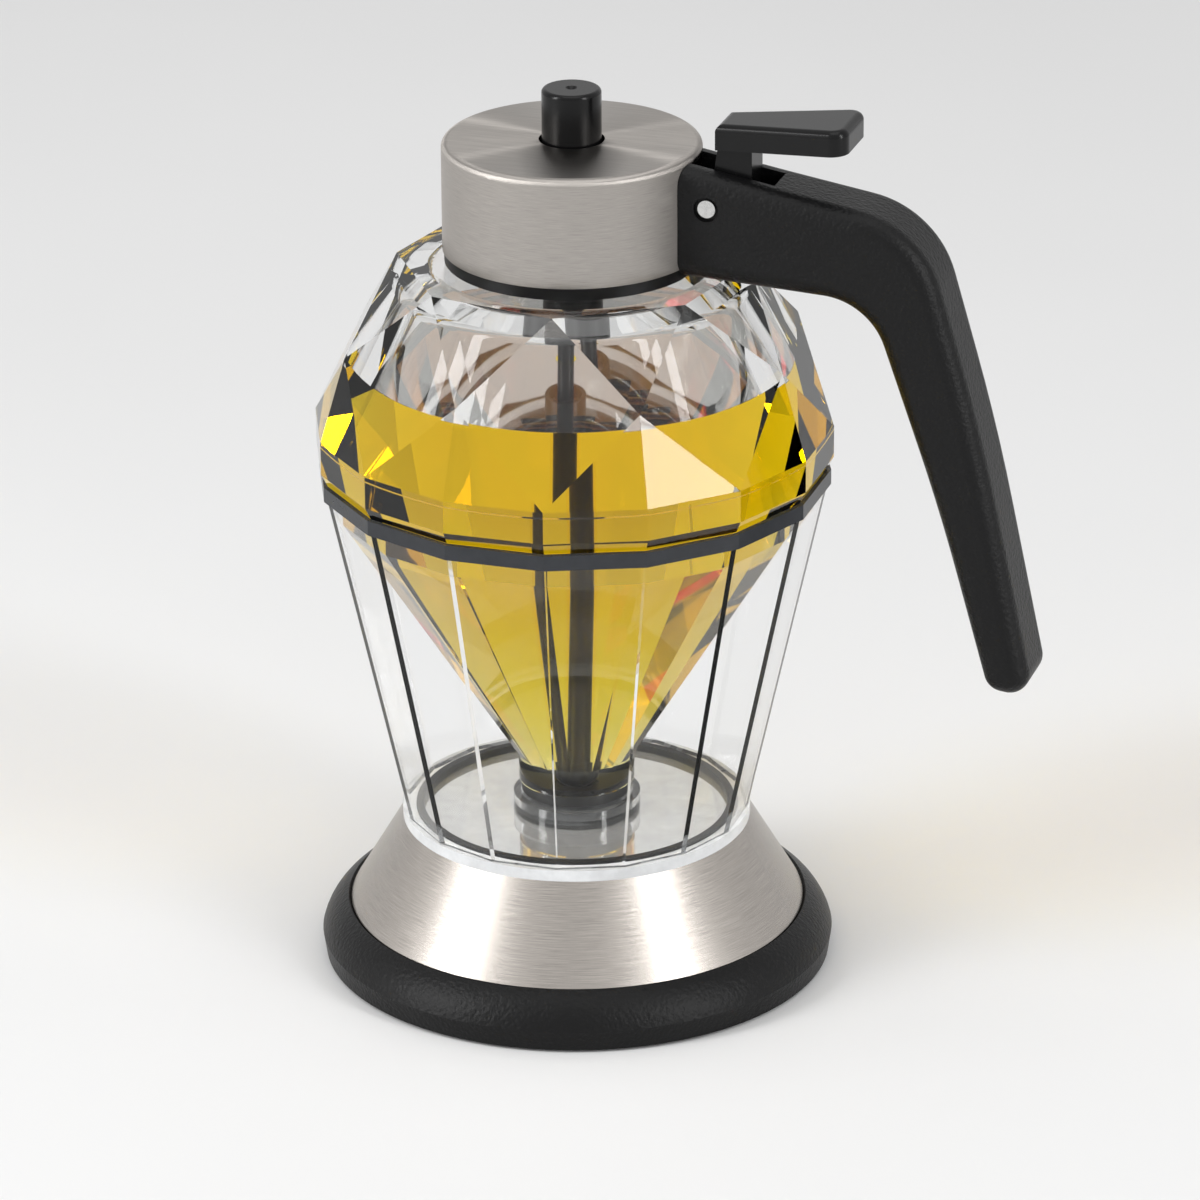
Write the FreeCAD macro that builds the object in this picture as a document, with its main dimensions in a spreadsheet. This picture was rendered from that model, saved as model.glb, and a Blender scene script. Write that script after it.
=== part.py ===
"""Honey dispenser: a faceted glass jar with a stopper rod, a screw lid with a handle and a
thumb lever, and a clear stand on a round base.

Millimetres. The origin is the centre of the foot pad's underside, on the table. +Z is up and
the handle points along +X.
"""
import FreeCAD, Part
import math
import os
import Sketcher
from FreeCAD import Vector

SIZES = {
    # Base
    "foot_radius": 37.0,
    "foot_height": 1.6,
    "plate_thickness": 1.6,
    "ring_lift": 0.5,
    "ring_foot_radius": 42.0,
    "ring_radius": 42.5,
    "ring_crease_height": 3.9,
    "ring_top_height": 9.6,
    "ring_crown_radius": 9.0,
    "cone_foot_radius": 37.7,
    "cone_foot_rise": 6.2,
    "cone_top_radius": 28.8,
    "cone_height": 21.2,
    "cone_wall": 0.8,
    "cone_flange_bore": 22.0,
    "base_screw_count": 3,
    "base_screw_circle": 17.0,
    "base_screw_shank": 1.4,
    "base_screw_head": 2.7,
    "base_screw_head_height": 1.1,
    "base_screw_length": 11.0,
    "floor_boss_radius": 3.4,
    "floor_radius": 25.45,
    "floor_thickness": 1.1,
    "collar_height": 1.9,
    "floor_seal_width": 1.2,
    "floor_seal_height": 1.3,
    # Stand wall
    "side_count": 16,
    "wall_foot_radius": 28.5,
    "wall_top_radius": 41.3,
    "wall_height": 57.7,
    "wall_thickness": 1.7,
    "rim_seal_radius": 41.9,
    "rim_seal_height": 2.5,
    # Drip cup
    "cup_radius": 10.2,
    "cup_height": 3.0,
    "cup_wall": 1.2,
    # Jar
    "girdle_radius": 42.3,
    "girdle_chamfer": 1.1,
    "girdle_chamfer_height": 2.1,
    "girdle_height": 5.3,
    "kite_drop": 13.1,
    "table_radius": 28.5,
    "crown_height": 27.3,
    "neck_radius": 16.6,
    "neck_wall": 2.5,
    "neck_height": 8.2,
    "skirt_radius": 37.7,
    "skirt_depth": 6.5,
    "spout_radius": 9.3,
    "spout_height": 4.5,
    "spout_lift": 5.5,
    "spout_bore": 5.8,
    "glass_wall": 2.3,
    "honey_rise": 10.0,
    "seat_radius": 8.8,
    "seat_thickness": 2.0,
    "seat_bore": 1.6,
    # Quick thread
    "thread_starts": 3,
    "thread_lead": 9.0,
    "thread_height": 1.0,
    "thread_thickness": 1.1,
    "thread_drop": 4.6,
    "ridge_sweep": 92.0,
    "lug_sweep": 20.0,
    # Lid
    "lid_seal_thickness": 1.4,
    "lid_seal_width": 3.2,
    "shell_radius": 20.9,
    "shell_wall": 0.8,
    "shell_headroom": 8.95,
    "shell_edge_radius": 1.2,
    "band_radius": 20.6,
    "band_height": 2.0,
    "band_drop": 8.0,
    "deck_thickness": 1.5,
    "guide_radius": 4.85,
    "guide_bore": 3.9,
    "guide_length": 22.55,
    "guide_stop_drop": 9.15,
    "guide_stop_thickness": 1.6,
    # Stopper rod and knob
    "rod_radius": 1.95,
    "plug_reach": 0.8,
    "plug_radius": 2.3,
    "plug_sleeve": 5.0,
    "knob_radius": 4.8,
    "knob_rise": 8.5,
    "knob_edge_radius": 0.7,
    "knob_dimple_radius": 1.0,
    "knob_dimple_depth": 0.8,
    "knob_flange_radius": 6.8,
    "knob_hole_gap": 0.5,
    "knob_flange_lift": 2.85,
    "knob_flange_thickness": 1.0,
    "knob_core_radius": 3.8,
    "knob_core_length": 9.4,
    "collar_clip_radius": 3.6,
    "collar_clip_height": 1.0,
    # Return spring
    "spring_wire": 0.6,
    "spring_turns": 7.0,
    "spring_length": 10.8,
    # Handle
    "handle_width": 14.0,
    "handle_edge_radius": 3.0,
    "handle_root_foot_drop": 19.3,
    "handle_root_top_drop": 0.8,
    "handle_bend_reach": 34.6,
    "handle_bend_drop": 3.5,
    "handle_palm_reach": 50.6,
    "handle_palm_drop": 20.9,
    "handle_palm_radius": 11.0,
    "handle_shoulder_reach": 59.2,
    "handle_shoulder_drop": 7.5,
    "handle_shoulder_radius": 17.0,
    "leg_inner_reach": 62.5,
    "leg_inner_drop": 54.5,
    "leg_outer_reach": 69.6,
    "leg_outer_drop": 43.0,
    "leg_bend_radius": 350.0,
    "leg_tip_inner_reach": 71.0,
    "leg_tip_outer_reach": 78.7,
    "leg_tip_drop": 84.5,
    "leg_tip_slope": 0.9,
    "leg_tip_radius": 3.3,
    "slot_width": 6.4,
    "slot_reach": 34.6,
    "slot_floor_drop": 12.1,
    "handle_screw_spacing": 9.2,
    "handle_screw_drop": 5.95,
    "handle_screw_shank": 1.1,
    "handle_screw_head": 2.1,
    "handle_screw_head_height": 0.9,
    "handle_screw_length": 12.0,
    "handle_screw_bearing": 1.5,
    # Lever
    "pin_reach": 24.4,
    "pin_lift": 1.65,
    "pin_radius": 1.45,
    "pin_recess_radius": 2.05,
    "pin_recess_depth": 0.8,
    "hub_radius": 3.3,
    "blade_width": 6.0,
    "neck_inner_reach": 25.3,
    "neck_outer_reach": 30.8,
    "paddle_inner_reach": 25.0,
    "paddle_outer_reach": 47.0,
    "paddle_lift": 1.7,
    "paddle_thickness": 4.1,
    "paddle_rise": 1.7,
    "paddle_inner_width": 8.0,
    "paddle_outer_width": 13.7,
    "paddle_edge_radius": 1.2,
    "paddle_corner_radius": 2.5,
    "fork_tip_radius": 1.1,
    "fork_width": 12.8,
    "fork_gap": 8.6,
    "fork_bridge_inner_reach": 14.4,
    "fork_bridge_outer_reach": 18.2,
    # Clearances
    "seat_gap": 0.1,
    "fit_gap": 0.05,
    "running_gap": 0.08,
    "thread_gap": 0.2,
}


class Sized:
    """A number together with the sheet expression that gives it."""

    def __init__(self, value, text):
        self.value = value
        self.text = text

    def combine(self, other, sign, value):
        return Sized(value, "(%s %s %s)" % (self.text, sign, sized(other).text))

    def __add__(self, other):
        return self.combine(other, "+", self.value + sized(other).value)

    def __sub__(self, other):
        return self.combine(other, "-", self.value - sized(other).value)

    def __mul__(self, other):
        return self.combine(other, "*", self.value * sized(other).value)

    def __truediv__(self, other):
        return self.combine(other, "/", self.value / sized(other).value)

    def __neg__(self):
        return sized(0) - self


def sized(number):
    if isinstance(number, Sized):
        return number
    return Sized(float(number), repr(number))


doc = FreeCAD.newDocument("HoneyDispenser")
sheet = doc.addObject("Spreadsheet::Sheet", "Sizes")
for row, (alias, number) in enumerate(SIZES.items(), start=1):
    sheet.set("A%d" % row, alias.replace("_", " "))
    sheet.set("B%d" % row, str(number))
    sheet.setAlias("B%d" % row, alias)
doc.recompute()


def size(alias):
    return Sized(float(sheet.get(alias)), "Sizes." + alias)


class Arc:
    """An outline's round stretch between the points before and after it.

    The side is +1 where the arc bulges to the right of the way it runs, and -1 to the left.
    """

    def __init__(self, radius, side):
        self.radius = radius
        self.side = side


def arc_middle(start, end, radius, side):
    """The middle of the arc of one radius from start to end that bulges to one side."""
    half = (end - start) * 0.5
    across = Vector(half.y, -half.x, 0).normalize() * side
    depth = math.sqrt(max(radius * radius - half.Length * half.Length, 0))
    return start + half + across * (radius - depth)


def origin_plane(body, role):
    return [feature for feature in body.Origin.OriginFeatures if feature.Role == role][0]


def new_sketch(body, name, role):
    sketch = body.newObject("Sketcher::SketchObject", name)
    sketch.AttachmentSupport = [(origin_plane(body, role), "")]
    sketch.MapMode = "FlatFace"
    return sketch


def bind(sketch, kind, first, second, length):
    """Add one dimension to a sketch and tie it to the sheet."""
    index = sketch.addConstraint(Sketcher.Constraint(kind, *first, *second, length.value))
    sketch.setExpression("Constraints[%d]" % index, length.text)


def pin_point(sketch, place, across, up):
    """Hold a sketch point at its two distances from the sketch's origin."""
    origin = (-1, 1)
    if across.value == 0:
        sketch.addConstraint(Sketcher.Constraint("PointOnObject", *place, -2))
    else:
        bind(sketch, "DistanceX", origin, place, across)
    if up.value == 0:
        sketch.addConstraint(Sketcher.Constraint("PointOnObject", *place, -1))
    else:
        bind(sketch, "DistanceY", origin, place, up)


def round_corner(before, corner, after, radius):
    """The start, middle and end of the arc that rounds a corner."""
    back = (before - corner).normalize()
    ahead = (after - corner).normalize()
    half = back.getAngle(ahead) / 2
    reach = radius / math.tan(half)
    inward = (back + ahead).normalize()
    centre = corner + inward * (radius / math.sin(half))
    return corner + back * reach, centre - inward * radius, corner + ahead * reach


def add_arc(sketch, start, middle, end):
    """Add an arc and return it with the places of its start and its end.

    A sketch counts an arc's ends anticlockwise, so a clockwise one is added from its end.
    """
    if (middle - start).cross(end - middle).z > 0:
        edge = sketch.addGeometry(Part.Arc(start, middle, end))
        return edge, (edge, 1), (edge, 2)
    edge = sketch.addGeometry(Part.Arc(end, middle, start))
    return edge, (edge, 2), (edge, 1)


def set_radius(sketch, edge, radius):
    row = sketch.addConstraint(Sketcher.Constraint("Radius", edge, radius.value))
    sketch.setExpression("Constraints[%d]" % row, radius.text)


def draw_outline(body, name, role, outline):
    """Draw a closed outline of (across, up) corners, or (across, up, radius) where one is round.

    An Arc between two corners makes that stretch round.
    """
    sketch = new_sketch(body, name, role)
    corners = []
    arcs = {}
    for item in outline:
        if isinstance(item, Arc):
            arcs[len(corners) - 1] = item
        else:
            corners.append([sized(number) for number in item])
    places = [Vector(corner[0].value, corner[1].value, 0) for corner in corners]
    count = len(places)
    trims = {}
    for index, corner in enumerate(corners):
        if len(corner) == 3:
            before = places[index - 1]
            after = places[(index + 1) % count]
            trims[index] = round_corner(before, places[index], after, corner[2].value)
    starts = []
    ends = []
    for index, place in enumerate(places):
        following = (index + 1) % count
        start = trims[index][2] if index in trims else place
        end = trims[following][0] if following in trims else places[following]
        if index in arcs:
            middle = arc_middle(start, end, arcs[index].radius.value, arcs[index].side)
            edge, first, last = add_arc(sketch, start, middle, end)
            set_radius(sketch, edge, arcs[index].radius)
        else:
            edge = sketch.addGeometry(Part.LineSegment(start, end))
            first = (edge, 1)
            last = (edge, 2)
        starts.append(first)
        ends.append(last)
    for index, corner in enumerate(corners):
        if index not in trims:
            sketch.addConstraint(Sketcher.Constraint("Coincident", *ends[index - 1], *starts[index]))
            pin_point(sketch, starts[index], corner[0], corner[1])
            continue
        edge, first, last = add_arc(sketch, *trims[index])
        sketch.addConstraint(Sketcher.Constraint("Tangent", *ends[index - 1], *first))
        sketch.addConstraint(Sketcher.Constraint("Tangent", *last, *starts[index]))
        set_radius(sketch, edge, corner[2])
        point = sketch.addGeometry(Part.Point(places[index]), True)
        pin_point(sketch, (point, 1), corner[0], corner[1])
        for side in (starts[index][0], ends[index - 1][0]):
            sketch.addConstraint(Sketcher.Constraint("PointOnObject", point, 1, side))
    return sketch


def draw_circles(body, name, role, centres, radius):
    sketch = new_sketch(body, name, role)
    for across, up in centres:
        across = sized(across)
        up = sized(up)
        place = Vector(across.value, up.value, 0)
        edge = sketch.addGeometry(Part.Circle(place, Vector(0, 0, 1), radius.value))
        pin_point(sketch, (edge, 3), across, up)
        set_radius(sketch, edge, radius)
    return sketch


def new_body(label):
    body = doc.addObject("PartDesign::Body", label)
    body.Label = label
    return body


def turned(label, outline):
    """A body turned about the Z axis from an outline of (radius, height) points."""
    body = new_body(label)
    turn = body.newObject("PartDesign::Revolution", label + "_turning")
    turn.Profile = draw_outline(body, label + "_outline", "XZ_Plane", outline)
    turn.ReferenceAxis = (turn.Profile[0], ["V_Axis"])
    turn.Angle = 360
    return body


def extrude(body, kind, name, sketch, length, midplane=False, reverse=False):
    feature = body.newObject("PartDesign::" + kind, name)
    feature.Profile = sketch
    feature.setExpression("Length", sized(length).text)
    feature.Midplane = midplane
    feature.Reversed = reverse
    return feature


def repeat_round(body, feature, name, axis, count):
    pattern = body.newObject("PartDesign::PolarPattern", name)
    pattern.Originals = [feature]
    pattern.Axis = axis
    pattern.Angle = 360
    pattern.setExpression("Occurrences", count.text)
    body.Tip = pattern
    return pattern


def round_edges(body, name, radius, chosen):
    """Round the edges of the body's last feature for which chosen(edge) is true."""
    doc.recompute()
    base = body.Tip
    names = ["Edge%d" % (index + 1) for index, edge in enumerate(base.Shape.Edges) if chosen(edge)]
    fillet = body.newObject("PartDesign::Fillet", name)
    fillet.Base = (base, names)
    fillet.setExpression("Radius", sized(radius).text)
    return fillet


def circle_at(radius, height):
    """Choose the edges that are whole circles about Z of one radius at one height."""
    def chosen(edge):
        curve = edge.Curve
        if not isinstance(curve, Part.Circle):
            return False
        return abs(curve.Radius - radius.value) < 1e-4 and abs(curve.Center.z - height.value) < 1e-4
    return chosen


def cylinder(label, radius, length, place, turn=None):
    """A cylinder whose foot is at place, along +Z or turned by (axis, degrees)."""
    tube = doc.addObject("Part::Cylinder", label)
    tube.Label = label
    tube.setExpression("Radius", sized(radius).text)
    tube.setExpression("Height", sized(length).text)
    if turn:
        tube.Placement = FreeCAD.Placement(Vector(), FreeCAD.Rotation(*turn))
    for letter, number in zip("xyz", place):
        tube.setExpression(".Placement.Base." + letter, sized(number).text)
    return tube


def joined(label, pieces):
    fuse = doc.addObject("Part::MultiFuse", label)
    fuse.Label = label
    fuse.Shapes = pieces
    return fuse


def cut_from(label, base, tool):
    cut = doc.addObject("Part::Cut", label)
    cut.Label = label
    cut.Base = base
    cut.Tool = tool
    return cut


def shaped(label, shape):
    feature = doc.addObject("Part::Feature", label)
    feature.Label = label
    feature.Shape = shape
    return feature


def at_angle(radius, degrees, height):
    turn = math.radians(degrees)
    return Vector(radius * math.cos(turn), radius * math.sin(turn), height)


def turned_solid(outline):
    """A solid turned about Z from (radius, height) corners, or (radius, height, rounding)."""
    places = [Vector(corner[0], 0, corner[1]) for corner in outline]
    edges = []
    count = len(places)
    starts = list(places)
    ends = list(places)
    for index, corner in enumerate(outline):
        if len(corner) == 3:
            after = places[(index + 1) % count]
            start, middle, end = round_corner(places[index - 1], places[index], after, corner[2])
            edges.append(Part.Arc(start, middle, end).toShape())
            ends[index] = start
            starts[index] = end
    for index in range(count):
        edges.append(Part.LineSegment(starts[index], ends[(index + 1) % count]).toShape())
    face = Part.Face(Part.Wire(Part.__sortEdges__(edges)))
    return face.revolve(Vector(), Vector(0, 0, 1), 360)


# Heights that several pieces share, from the table up
plate_foot = size("foot_height")
plate_top = plate_foot + size("plate_thickness")
cone_knee = plate_top + size("cone_foot_rise")
cone_top = plate_top + size("cone_height")
floor_top = cone_top + size("floor_thickness")
wall_foot = cone_top + size("collar_height")
rim_foot = wall_foot + size("wall_height")
rim_top = rim_foot + size("rim_seal_height")
spout_foot_z = floor_top + size("spout_lift")
spout_top_z = spout_foot_z + size("spout_height")
seat_foot = spout_foot_z - size("seat_thickness")
skirt_foot_z = rim_top - size("skirt_depth")
girdle_foot = rim_top + size("seat_gap")
chamfer_top = rim_top + size("girdle_chamfer_height") + size("seat_gap")
girdle_top_z = rim_top + size("girdle_chamfer_height") + size("girdle_height") + size("seat_gap")
table_z = girdle_top_z + size("crown_height")
kite_middle_z = table_z - size("kite_drop")
honey_z = girdle_top_z + size("honey_rise")
neck_top = table_z + size("neck_height")
thread_base_z = neck_top - size("thread_drop")
lid_seal_foot = neck_top + size("seat_gap")
deck_foot = lid_seal_foot + size("lid_seal_thickness") + size("fit_gap")
deck_top = deck_foot + size("deck_thickness")
band_foot_z = neck_top - size("band_drop")
shell_foot_z = band_foot_z + size("band_height")
shell_top_z = deck_top + size("shell_headroom")
shell_ceiling = shell_top_z - size("shell_wall")
guide_foot_z = deck_top - size("guide_length")
guide_stop_z = deck_top - size("guide_stop_drop")
pivot_z = deck_top + size("pin_lift")
knob_flange_z = deck_top + size("knob_flange_lift")
knob_core_foot_z = knob_flange_z - size("knob_core_length")
knob_top_z = shell_top_z + size("knob_rise")
paddle_foot_z = shell_top_z + size("paddle_lift")
handle_screw_z = deck_top - size("handle_screw_drop")
spring_foot = guide_stop_z - size("spring_length")
clip_top = spring_foot - size("fit_gap")

# Radii and distances that several pieces share
neck_bore = size("neck_radius") - size("neck_wall")
shell_bore = size("shell_radius") - size("shell_wall")
liner_radius = shell_bore - size("fit_gap")
liner_bore = size("neck_radius") + size("thread_height") + size("thread_gap")
knob_hole = size("knob_radius") + size("knob_hole_gap")
half_screw_spacing = size("handle_screw_spacing") / 2
screw_seat = liner_radius - size("handle_screw_bearing")
handle_saddle = size("shell_radius") + size("fit_gap")


# Base
def foot_pad():
    zero = sized(0)
    body = turned("foot_pad", [
        (zero, zero),
        (size("foot_radius"), zero),
        (size("foot_radius"), plate_foot),
        (zero, plate_foot),
    ])
    holes = draw_circles(body, "foot_pad_holes", "XY_Plane", [(size("base_screw_circle"), zero)],
                         size("base_screw_head") + 0.4)
    cut = extrude(body, "Pocket", "foot_pad_cut", holes, plate_foot + 1, midplane=False, reverse=True)
    repeat_round(body, cut, "foot_pad_cuts", (holes, ["N_Axis"]), size("base_screw_count"))


def base_plate():
    body = turned("base_plate", [
        (0, plate_foot),
        (size("cone_foot_radius"), plate_foot),
        (size("cone_foot_radius"), plate_top),
        (0, plate_top),
    ])
    holes = draw_circles(body, "base_plate_holes", "XY_Plane", [(size("base_screw_circle"), 0)],
                         size("base_screw_shank") + size("fit_gap"))
    cut = extrude(body, "Pocket", "base_plate_cut", holes, plate_top + 1, reverse=True)
    repeat_round(body, cut, "base_plate_cuts", (holes, ["N_Axis"]), size("base_screw_count"))


def base_ring():
    inner = size("cone_foot_radius") + size("fit_gap")
    top = size("ring_top_height")
    lip = size("cone_wall") / 2
    turned("base_ring", [
        (inner, size("ring_lift")),
        (size("ring_foot_radius"), size("ring_lift")),
        (size("ring_radius"), size("ring_crease_height")),
        Arc(size("ring_crown_radius"), 1),
        (inner + lip, top),
        (inner, top - lip),
    ])


def base_cone():
    foot = size("cone_foot_radius")
    wall = size("cone_wall")
    knee = cone_knee
    turned("base_cone", [
        (foot - wall, plate_top),
        (foot, plate_top),
        (foot, knee),
        (size("cone_top_radius"), cone_top),
        (size("cone_flange_bore"), cone_top),
        (size("cone_flange_bore"), cone_top - wall),
        (size("cone_top_radius") - wall, cone_top - wall),
        (foot - wall, knee),
    ])


def floor_disc():
    body = turned("floor_disc", [
        (0, cone_top),
        (size("floor_radius"), cone_top),
        (size("floor_radius"), floor_top),
        (0, floor_top),
    ])
    centres = [(size("base_screw_circle"), 0)]
    bosses = draw_circles(body, "floor_boss_outline", "XY_Plane", centres, size("floor_boss_radius"))
    bosses.setExpression(".AttachmentOffset.Base.z", plate_top.text)
    boss = extrude(body, "Pad", "floor_boss", bosses, cone_top - plate_top)
    repeat_round(body, boss, "floor_bosses", (bosses, ["N_Axis"]), size("base_screw_count"))
    holes = draw_circles(body, "floor_boss_holes", "XY_Plane", centres,
                         size("base_screw_shank") + size("fit_gap"))
    hole = extrude(body, "Pocket", "floor_boss_hole", holes,
                   plate_foot + size("base_screw_length") + 1, reverse=True)
    repeat_round(body, hole, "floor_boss_cuts", (holes, ["N_Axis"]), size("base_screw_count"))


def base_screws():
    pieces = []
    count = size("base_screw_count")
    head_top = plate_foot
    for index in range(int(count.value)):
        angle = sized(360) * index / count
        across = Sized(size("base_screw_circle").value * math.cos(math.radians(angle.value)),
                       "Sizes.base_screw_circle * cos(%s * 1 deg)" % angle.text)
        along = Sized(size("base_screw_circle").value * math.sin(math.radians(angle.value)),
                      "Sizes.base_screw_circle * sin(%s * 1 deg)" % angle.text)
        head_height = size("base_screw_head_height")
        pieces.append(cylinder("base_screw_head_%d" % index, size("base_screw_head"), head_height,
                               (across, along, head_top - head_height)))
        pieces.append(cylinder("base_screw_shank_%d" % index, size("base_screw_shank"),
                               size("base_screw_length"), (across, along, head_top)))
    joined("base_screws", pieces)


def collar_ring():
    inner = size("floor_radius") + size("fit_gap")
    turned("collar_ring", [
        (inner, cone_top),
        (size("cone_top_radius"), cone_top),
        (size("cone_top_radius"), wall_foot),
        (inner, wall_foot),
    ])


def floor_gasket():
    outer = size("floor_radius")
    inner = outer - size("floor_seal_width")
    top = floor_top + size("floor_seal_height")
    turned("floor_gasket", [
        (inner, floor_top),
        (outer, floor_top),
        (outer, top),
        (inner, top),
    ])


def drip_cup():
    outer = size("cup_radius")
    wall = size("cup_wall")
    turned("drip_cup", [
        (0, floor_top),
        (outer, floor_top),
        (outer, floor_top + size("cup_height")),
        (outer - wall, floor_top + size("cup_height")),
        (outer - wall, floor_top + wall),
        (0, floor_top + wall),
    ])


# Stand wall and its rim
def polygon_at(label, radius, height):
    ring = doc.addObject("Part::RegularPolygon", label)
    ring.Label = label
    ring.setExpression("Polygon", "Sizes.side_count")
    ring.setExpression("Circumradius", radius.text)
    ring.setExpression(".Placement.Base.z", height.text)
    turn_to_flat(ring)
    return ring


def turn_to_flat(piece):
    """Turn a many-sided piece about Z so that the middle of a side faces the handle."""
    piece.setExpression(".Placement.Rotation.Angle", "180 / Sizes.side_count")


def loft_between(label, lower, upper):
    loft = doc.addObject("Part::Loft", label)
    loft.Label = label
    loft.Sections = [lower, upper]
    loft.Solid = True
    loft.Ruled = True
    return loft


def corner_offset(thickness):
    """How much less a corner's radius is when a side moves in by the thickness."""
    count = size("side_count")
    factor = math.cos(math.pi / count.value)
    return Sized(thickness.value / factor, "%s / cos(180 deg / Sizes.side_count)" % thickness.text)


def stand_wall():
    inset = corner_offset(size("wall_thickness"))
    outer = loft_between(
        "stand_wall_outside",
        polygon_at("wall_foot_outside", size("wall_foot_radius"), wall_foot),
        polygon_at("wall_top_outside", size("wall_top_radius"), rim_foot))
    inner = loft_between(
        "stand_wall_inside",
        polygon_at("wall_foot_inside", size("wall_foot_radius") - inset, wall_foot),
        polygon_at("wall_top_inside", size("wall_top_radius") - inset, rim_foot))
    cut_from("stand_wall", outer, inner)


def rim_gasket():
    band = doc.addObject("Part::Prism", "rim_band")
    band.setExpression("Polygon", "Sizes.side_count")
    band.setExpression("Circumradius", "Sizes.rim_seal_radius")
    band.setExpression("Height", "Sizes.rim_seal_height")
    band.setExpression(".Placement.Base.z", rim_foot.text)
    turn_to_flat(band)
    bore = cylinder("rim_bore", size("skirt_radius") + 0.6, size("rim_seal_height") + 2,
                    (0, 0, rim_foot - 1))
    cut_from("rim_gasket", band, bore)


# Jar
def crown_faces():
    """The cut crown above the girdle: a table, eight kites, and triangles between them."""
    count = int(size("side_count").value)
    step = 360.0 / count
    girdle = size("girdle_radius").value
    girdle_top = girdle_top_z.value
    table = size("table_radius").value
    table_height = table_z.value
    middle_height = kite_middle_z.value
    share = (table_height - middle_height) / (table_height - girdle_top)
    kite_reach = table + (girdle - table) * share
    middle = kite_reach / math.cos(math.radians(step))
    edge_top = chamfer_top.value
    chamfer_foot = girdle - size("girdle_chamfer").value

    def corner(radius, index, height):
        return at_angle(radius, step * (index + 0.5), height)

    faces = []
    for index in range(count):
        following = index + 1
        faces.append([corner(girdle, index, edge_top), corner(girdle, following, edge_top),
                      corner(girdle, following, girdle_top), corner(girdle, index, girdle_top)])
        faces.append([corner(chamfer_foot, index, girdle_foot.value),
                      corner(chamfer_foot, following, girdle_foot.value),
                      corner(girdle, following, edge_top), corner(girdle, index, edge_top)])
    for index in range(0, count, 2):
        left = corner(middle, index - 1, middle_height)
        right = corner(middle, index + 1, middle_height)
        top = corner(table, index, table_height)
        foot = corner(girdle, index, girdle_top)
        faces.append([top, left, foot, right])
        faces.append([top, right, corner(table, index + 2, table_height)])
        faces.append([right, foot, corner(girdle, index + 1, girdle_top)])
        faces.append([right, corner(girdle, index + 1, girdle_top),
                      corner(girdle, index + 2, girdle_top)])
    faces.append([corner(table, index, table_height) for index in range(0, count, 2)])
    faces.append([corner(chamfer_foot, index, girdle_foot.value) for index in range(count)])
    return faces


def crown_solid():
    faces = []
    for corners in crown_faces():
        faces.append(Part.Face(Part.makePolygon(corners + corners[:1])))
    shell = Part.makeShell(faces)
    shell.sewShape()
    solid = Part.makeSolid(shell)
    if solid.Volume < 0:
        solid.reverse()
    return solid


def jar_cavity(inset):
    """The round inside of the jar, drawn in by the inset."""
    wall = size("glass_wall").value
    spout_bore = size("spout_bore").value - inset
    spout = size("spout_radius").value
    spout_top = spout_top_z.value
    skirt = size("skirt_radius").value
    skirt_foot = skirt_foot_z.value
    slope = math.hypot(skirt - spout, skirt_foot - spout_top) / (skirt_foot - spout_top)
    rise = (skirt_foot - spout_top) / (skirt - spout)
    cone_gap = wall * slope + inset
    bore_top = spout_top + (spout_bore + cone_gap - spout) * rise
    skirt_bore = skirt - wall - inset
    skirt_bore_foot = spout_top + (skirt_bore + cone_gap - spout) * rise
    flat = math.cos(math.pi / size("side_count").value)
    girdle_bore = size("girdle_radius").value * flat - wall - inset
    girdle_top = girdle_top_z.value
    table_flat = size("table_radius").value * math.cos(2 * math.pi / size("side_count").value)
    ceiling = table_z.value - wall - inset
    crown_slope = (size("girdle_radius").value - size("table_radius").value) / (
        table_z.value - girdle_top)
    crown_gap = wall * math.hypot(1, crown_slope) + inset
    brow = ceiling - wall
    brow_radius = size("table_radius").value + crown_slope * (
        table_z.value - brow) - crown_gap - wall / 2
    neck = neck_bore.value - inset
    foot = spout_foot_z.value + (inset if inset else -1)
    return turned_solid([
        (0, foot),
        (spout_bore, foot),
        (spout_bore, bore_top, 4.0),
        (skirt_bore, skirt_bore_foot, 8.0),
        (skirt_bore, girdle_foot.value + 1.0, 2.0),
        (girdle_bore, girdle_foot.value + 5.0, 2.0),
        (girdle_bore, girdle_top - wall / 2, 3.0),
        (brow_radius, brow, 3.0),
        (table_flat - wall * 1.5, ceiling, 2.0),
        (neck, ceiling, 1.0),
        (neck, neck_top.value + 1),
        (0, neck_top.value + 1),
    ])


def many_sided(radius, height):
    """A closed outline with the girdle's number of sides, turned as the girdle is."""
    count = int(size("side_count").value)
    corners = [at_angle(radius, 360.0 * (index + 0.5) / count, height) for index in range(count)]
    return Part.makePolygon(corners + corners[:1])


def jar_outside():
    """The jar's outside under and over the crown: the many-sided cone, the spout and the neck."""
    spout = size("spout_radius").value
    spout_top = spout_top_z.value
    spout_foot = spout_foot_z.value
    skirt = size("skirt_radius").value
    under_crown = girdle_foot.value + 1
    lower = Part.makeLoft([
        many_sided(spout + corner_offset(size("fit_gap")).value, spout_top),
        many_sided(skirt, skirt_foot_z.value),
        many_sided(skirt, under_crown),
    ], True, True)
    collar = Part.makeCylinder(spout, spout_top - spout_foot + 1, Vector(0, 0, spout_foot))
    neck = Part.makeCylinder(size("neck_radius").value, neck_top.value - under_crown - 10,
                             Vector(0, 0, under_crown + 10))
    return lower.fuse([collar, neck])


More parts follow.
